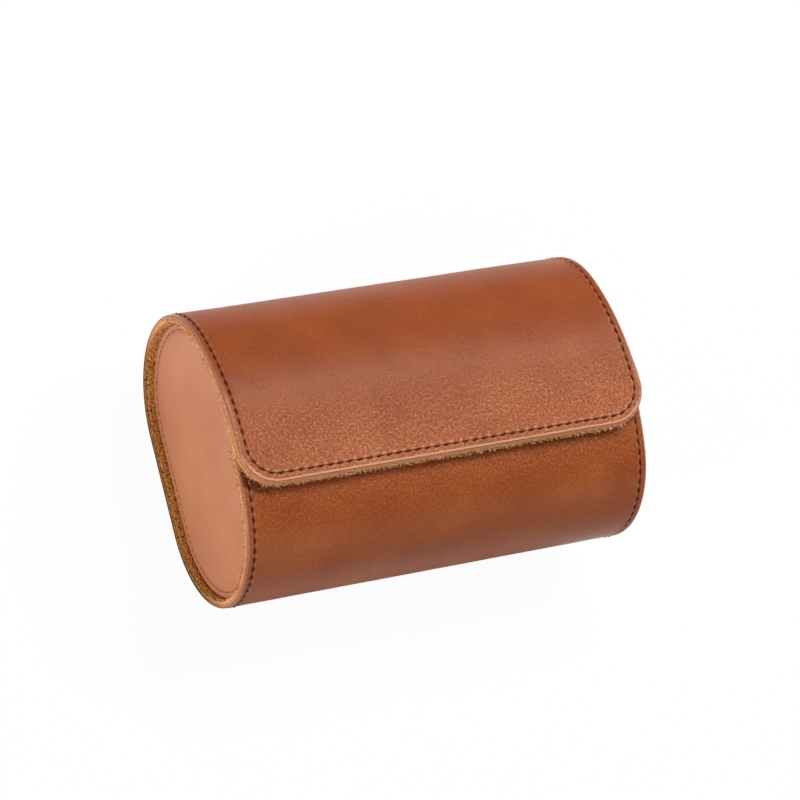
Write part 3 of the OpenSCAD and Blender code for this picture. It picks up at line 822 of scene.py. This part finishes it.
def panel_outline(fixed, under_lid):
    """The panel's outline in y and z: one depth where it is fixed, another under the lid, and a
    slope past the front wall's edge."""
    slope = (wall_r - crown_r - fixed + under_lid) / wall_r
    parts = [(back_c, round_r - fixed, -0.5 * math.pi, hinge_turn),
             (back_c, round_r - under_lid, hinge_turn, back_turn),
             (crown_c, crown_r - under_lid, back_turn, wall_turn + slope),
             (crown_c, wall_r - fixed, wall_turn, front_turn),
             (front_c, round_r - fixed, front_turn, 1.5 * math.pi)]
    points = [np.column_stack([c[0] + r * np.cos(turns(a, b)), c[1] + r * np.sin(turns(a, b))])
              for c, r, a, b in parts]
    base = np.linspace(-base_half, base_half, 24)[1:-1]
    return np.concatenate(points + [np.column_stack([base, np.full(len(base), fixed)])])


def skin(name, first, rings, last, sharp=40):
    """A closed mesh of rings of points, which are drawn together to one point at either end."""
    count = len(rings[0])
    points = np.concatenate([[first], *rings, [last]])
    after = (np.arange(count) + 1) % count
    faces = [(0, 1 + i, 1 + after[i]) for i in range(count)]
    for r in range(len(rings) - 1):
        a, b = 1 + r * count, 1 + (r + 1) * count
        faces += [(a + i, b + i, b + after[i], a + after[i]) for i in range(count)]
    a = 1 + (len(rings) - 1) * count
    faces += [(len(points) - 1, a + after[i], a + i) for i in range(count)]
    mesh = bpy.data.meshes.new(name)
    mesh.from_pydata(points.tolist(), [], faces)
    return finished(name, mesh, sharp)


def plate(name, depths, profile, place):
    """A closed plate from (inset, height) rings out from the middle of its face, round its rim and
    back to the middle of its other face. place turns (y, z, height) into a point."""
    outlines = [panel_outline(depths[0] + inset, depths[1] + inset) for inset, _ in profile]
    heights = [height for _, height in profile]
    shares = [0.2, 0.4, 0.6, 0.75, 0.88]

    def inner(i, share):
        return panel_middle + (outlines[i] - panel_middle) * share, heights[i]

    rows = [inner(0, share) for share in shares] + list(zip(outlines, heights))
    rows += [inner(-1, share) for share in shares[::-1]]
    rings = [[place(y, z, height) for y, z in row] for row, height in rows]
    return skin(name, place(*panel_middle, heights[0]), rings, place(*panel_middle, heights[-1]))


def round_seam(y, z, pitch):
    """Where the stitches of a closed seam lie in y and z, and the way of each."""
    run = run_along(y, z)
    count = round(run[-1] / pitch)
    middle = (np.arange(count) + 0.5) * run[-1] / count
    before, at, past = [np.column_stack([np.interp(length, run, y), np.interp(length, run, z)])
                        for length in (middle - 0.4 * mm, middle, middle + 0.4 * mm)]
    return at, unit(np.column_stack([np.zeros(count), past - before]))


panel_profile = in_mm([
    (6.5, -0.15), (5.2, -0.13), (4.3, -0.08), (3.6, 0.02), (3.1, 0.14), (2.7, 0.28), (2.45, 0.36),
    (2.25, 0.37), (2.05, 0.28), (1.8, 0.15), (1.45, 0.06), (1.1, 0.06), (0.8, 0.12), (0.5, 0.26),
    (0.22, 0.52), (0.06, 0.87), (0, 1.3), (0, 2.4), (0.1, 2.6), (0.4, 2.7), (1.1, 2.7), (1.2, 2.6),
    (1.25, 1.3), (1.4, 1.2), (4.4, 1.2)])


def panel_material():
    """Smooth tan leather, duller and paler than the wrap, with soft handling marks."""
    material, tree, surface = new_material("panel_leather")
    place = own_place(tree)
    blotch, fine = cloud(tree, place, 38, 4, 0.5), cloud(tree, place, 1500, 3, 0.6)
    colour = ramp(tree, blotch, (0.30, (0.510, 0.185, 0.085)), (0.70, (0.595, 0.230, 0.112)))
    pores = ramp(tree, fine, (0.3, (0.86, 0.84, 0.82)), (0.6, (1, 1, 1)))
    feed(tree, surface, {"Base Color": mix(tree, 0.3, colour, pores, "MULTIPLY"),
                         "Roughness": 0.55, "Specular IOR Level": 0.35})
    roughen(tree, surface, fine, 0.35, 0.06 * mm)
    return material


tan_leather = panel_material()
tan_thread = thread_material("tan_thread", (0.17, 0.050, 0.022), (0.32, 0.115, 0.055))
for side, hand in (("left", -1), ("right", 1)):
    panel = plate(side + "_panel", panel_depths, panel_profile,
                  lambda y, z, height: (hand * (panel_face_x - height), y, z))
    panel.data.materials.append(tan_leather)
    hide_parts(side + "_panel_leather")
    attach(panel, "case")
    line = panel_outline(*[depth + panel_seam_inset for depth in panel_depths])
    at, way = round_seam(*np.concatenate([line, line[:1]]).T, panel_pitch)
    at = np.column_stack([np.full(len(at), hand * (panel_face_x - panel_seam_depth)), at])
    seam = thread_row(side + "_panel_seam", at, way, np.tile([hand, 0, 0], (len(at), 1)),
                      Length=1.7 * mm, Thread=0.2 * mm, Arch=0.12 * mm, Material=tan_thread)
    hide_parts(side + "_panel_stitching")
    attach(seam, "case")

# The boards that stiffen the case, the lid, the flap and the end panels are grey pressed board
# between the leather and the suede. Nickel-plated magnets are let into two of them, and the
# end panels have suede on their backs.


def clad(node, material):
    """Gives a CAD node a material in place of its own."""
    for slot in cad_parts[node].material_slots:
        slot.material = material


def pressed_board():
    material, tree, surface = new_material("pressed_board")
    pulp = cloud(tree, own_place(tree), 900, 4, 0.7)
    grey = ramp(tree, pulp, (0.3, (0.26, 0.23, 0.19)), (0.7, (0.42, 0.38, 0.32)))
    feed(tree, surface, {"Base Color": grey, "Roughness": 0.9})
    roughen(tree, surface, pulp, 0.5, 0.1 * mm)
    return material


def nickel_plate():
    material, tree, surface = new_material("nickel_plate")
    haze = cloud(tree, own_place(tree), 600, 3, 0.5)
    silvery = ramp(tree, haze, (0.3, (0.55, 0.53, 0.49)), (0.7, (0.66, 0.64, 0.60)))
    feed(tree, surface, {"Base Color": silvery, "Metallic": 1, "Roughness": 0.28})
    return material


grey_board = pressed_board()
nickel = nickel_plate()
panel_back_suede = suede("panel_back_suede", (0.16, 0.058, 0.014), (0.46, 0.205, 0.05),
                         (0.68, 0.37, 0.11))
for node in ("case_board", "lid_board", "flap_board", "left_panel_board", "right_panel_board"):
    clad(node, grey_board)
for node in ("case_magnets", "flap_magnets"):
    clad(node, nickel)
for node in ("left_panel_suede", "right_panel_suede"):
    clad(node, panel_back_suede)

# The divider between the two bays is a board in one envelope of suede, folded round over its
# edge. It stands across the case, and the lid closes over it.
divider_depths = (3.6 * mm, 4.4 * mm)
divider_front = in_mm([(4.4, 1.4), (1.4, 1.4), (0.85, 1.36), (0.4, 1.16), (0.1, 0.8), (0, 0.36)])
divider_profile = divider_front + [(inset, -x) for inset, x in divider_front[::-1]]
divider = plate("divider", divider_depths, divider_profile, lambda y, z, x: (x, y, z))
divider_suede = suede("divider_suede", (0.16, 0.058, 0.014), (0.48, 0.215, 0.055),
                      (0.70, 0.39, 0.12))
divider.data.materials.append(divider_suede)
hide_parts("divider_suede", "divider_board")
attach(divider, "case")

# Each watch cushion is a foam drum in soft pale suede: a band round it and a domed end at
# either side, sewn together inside out, so that the seam draws in and the suede puckers.
cushion_l, cushion_w, cushion_h = 57.4 * mm, 62 * mm, 46 * mm
cushion_x, cushion_z = 32.7 * mm, 26.8 * mm
cushion_draw = 2.6 * mm
cushion_dome = 3.2 * mm
band_half = cushion_l / 2 - cushion_dome
oval_power = 2.3
cushion_steps = 168
pucker_pitch = 3.1 * mm
drawn_in, drawn_reach = 0.55 * mm, 0.7 * mm
puckered, pucker_reach = 0.13 * mm, 1.3 * mm
creased, crease_from, crease_reach, crease_size = 0.55 * mm, 0.9 * mm, 4.5 * mm, 5 * mm
sagging, sag_from, sag_size = 0.28 * mm, 4 * mm, 13 * mm


def oval(half_w, half_h, turn):
    """Points of the cushion's section, an oval between an ellipse and a box."""
    reach = [np.sign(c) * abs(c) ** (2 / oval_power) for c in (np.cos(turn), np.sin(turn))]
    return half_w * reach[0], half_h * reach[1]


def cushion_rings():
    """(x, share of the half sizes, distance to the seam) from one end's middle to the other's.
    On the band there is no share."""
    shares = np.concatenate([np.linspace(0.06, 0.9, 15), [0.93, 0.955, 0.975, 0.99]])
    end = [(cushion_l / 2 - cushion_dome * (1 - math.sqrt(1 - f * f)), f, (1 - f) * 0.4 * cushion_w)
           for f in shares]
    beside_seam = np.array([0, 0.5, 1, 1.5, 2.1, 2.8, 3.7]) * mm / band_half
    across = np.concatenate([beside_seam, np.linspace(beside_seam[-1], 1, 14)[1:]])
    half = end + [(band_half * (1 - u), None, band_half * u) for u in across]
    return half + [(-x, f, off) for x, f, off in half[-2::-1]]


def cushion_mesh(name, middle_x, seed):
    """A cushion's cover: drawn in and puckered at its seams, creased beside them, and sagging a
    little everywhere else, the same each run."""
    turn = np.linspace(0, 2 * math.pi, cushion_steps, endpoint=False)
    half_w, half_h = cushion_w / 2 - cushion_draw, cushion_h / 2 - cushion_draw
    run = run_along(*oval(half_w, half_h, np.append(turn, turn[0])))
    pucker = np.cos(2 * math.pi * run[:-1] / (run[-1] / round(run[-1] / pucker_pitch)))
    place, depth = [], []
    for x, share, off in cushion_rings():
        if share:
            y, z = oval(half_w * share, half_h * share, turn)
        else:
            fill = cushion_draw * (1 - (abs(x) / band_half) ** 2.5)
            y, z = oval(half_w + fill, half_h + fill, turn)
        place.append(np.column_stack([np.full(cushion_steps, x), y, z]))
        this_end = seed + math.copysign(3, x)
        crease = np.array([noise.noise(Vector((b / crease_size, c / crease_size, this_end)))
                           for b, c in place[-1][:, 1:]])
        sag = np.array([noise.noise(Vector(point) / sag_size + Vector((0, 0, seed)))
                        for point in place[-1]])
        depth.append(drawn_in * hump(off, 0, drawn_reach)
                     + puckered * (1 + pucker) * math.exp(-off / pucker_reach)
                     + creased * (0.5 + crease) * math.exp(-off / crease_reach)
                     * (1 - hump(off, 0, crease_from))
                     + sagging * (0.5 + sag) * (1 - math.exp(-off / sag_from)))
    place, depth = np.array(place), np.array(depth)
    round_way = np.roll(place, -1, axis=1) - np.roll(place, 1, axis=1)
    out = unit(np.cross(round_way, np.gradient(place, axis=0)))
    band = len(place) // 2
    if (out[band] * place[band] * [0, 1, 1]).sum() < 0:
        out = -out
    middle = np.array([middle_x, 0, cushion_z])
    tip = np.array([cushion_l / 2 - 0.2 * mm, 0, 0])
    return skin(name, middle + tip, place - out * depth[:, :, None] + middle, middle - tip, 80)


def cushion_seams(name, middle_x, thread):
    """Stitches round both ends of the band, just outside the seam."""
    inset = cushion_draw + 0.15 * mm
    line = oval(cushion_w / 2 - inset, cushion_h / 2 - inset, np.linspace(0, 2 * math.pi, 721))
    at, way = round_seam(*line, pucker_pitch)
    past_seam = band_half - 0.9 * mm
    spots = [np.column_stack([np.full(len(at), middle_x + x), at + [0, cushion_z]])
             for x in (-past_seam, past_seam)]
    way = np.tile(way, (2, 1))
    return thread_row(name, np.concatenate(spots), way, np.cross([1, 0, 0], way), Length=2 * mm,
                      Thread=0.2 * mm, Arch=0.15 * mm, Material=thread)


pale_suede = suede("pale_suede", (0.46, 0.27, 0.11), (0.62, 0.40, 0.18), (0.76, 0.54, 0.28))
for side, hand in (("left", -1), ("right", 1)):
    cushion = cushion_mesh(side + "_cushion_cover", hand * cushion_x, 2 + hand)
    cushion.data.materials.append(pale_suede)
    body = side + "_cushion"
    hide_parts(body + "_foam", body + "_band", body + "_ends")
    seams = cushion_seams(side + "_cushion_seams", hand * cushion_x, tan_thread)
    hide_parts(body + "_stitching")
    for piece in (cushion, seams):
        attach(piece, body)

# The roll stands on a white table in white surroundings. A long, narrow soft box hangs over it
# and behind. A smaller one stands low at its front left, and a weak strip low in front of it.
table_half = 3
floor_mesh = bpy.data.meshes.new("floor")
corners = [(x * table_half, y * table_half, 0) for x, y in ((-1, -1), (1, -1), (1, 1), (-1, 1))]
floor_mesh.from_pydata(corners, [], [(0, 1, 2, 3)])
floor = bpy.data.objects.new("floor", floor_mesh)
bpy.context.scene.collection.objects.link(floor)
floor.location.z = -0.1 * mm
white, tree, surface = new_material("white_table")
feed(tree, surface, {"Base Color": (0.9, 0.9, 0.9, 1), "Roughness": 0.9})
glow = add(tree, "ShaderNodeEmission", {"Color": (1, 1, 1, 1), "Strength": 1.0})
seen = add(tree, "ShaderNodeLightPath").outputs["Is Camera Ray"]
both = add(tree, "ShaderNodeMixShader", {"Fac": times(tree, seen, 0.96), 1: surface.outputs[0],
                                         2: glow.outputs[0]})
tree.links.new(both.outputs[0], tree.nodes["Material Output"].inputs["Surface"])
floor.data.materials.append(white)

world = bpy.data.worlds.new("studio")
bpy.context.scene.world = world
world.use_nodes = True
tree = world.node_tree
ray = add(tree, "ShaderNodeLightPath").outputs
sky = add(tree, "ShaderNodeTexCoord").outputs["Generated"]
up = add(tree, "ShaderNodeSeparateXYZ", {0: sky}).outputs["Z"]
mirrored = reckon(tree, "MAXIMUM", ray["Is Glossy Ray"], ray["Is Transmission Ray"])
ceiling = between(tree, up, 0.22, 0.5, 1.0, 0.04, "SMOOTHSTEP")
level = reckon(tree, "ADD", times(tree, mirrored, ceiling),
               times(tree, reckon(tree, "SUBTRACT", 1, mirrored), 0.08))
level = reckon(tree, "MAXIMUM", level, ray["Is Camera Ray"])
feed(tree, tree.nodes["Background"], {"Color": (1, 1, 1, 1), "Strength": level})


def soft_box(name, place, size, power):
    """A lamp of a size in metres and a power in watts, which faces the roll."""
    light = bpy.data.objects.new(name, bpy.data.lights.new(name, "AREA"))
    light.data.shape = "RECTANGLE"
    light.data.size, light.data.size_y = size
    light.data.energy = power
    light.location = place
    from_roll = light.location - Vector((0, 0, 40 * mm))
    light.rotation_euler = from_roll.to_track_quat("Z", "Y").to_euler()
    bpy.context.scene.collection.objects.link(light)


soft_box("overhead", (0.36, 0.42, 0.87), (0.70, 0.16), 11.2)
soft_box("left", (-0.92, -0.30, 0.34), (0.28, 0.22), 5.8)
soft_box("front_strip", (0.30, -0.88, 0.38), (0.9, 0.04), 1.2)
bpy.context.scene.view_settings.view_transform = "Standard"
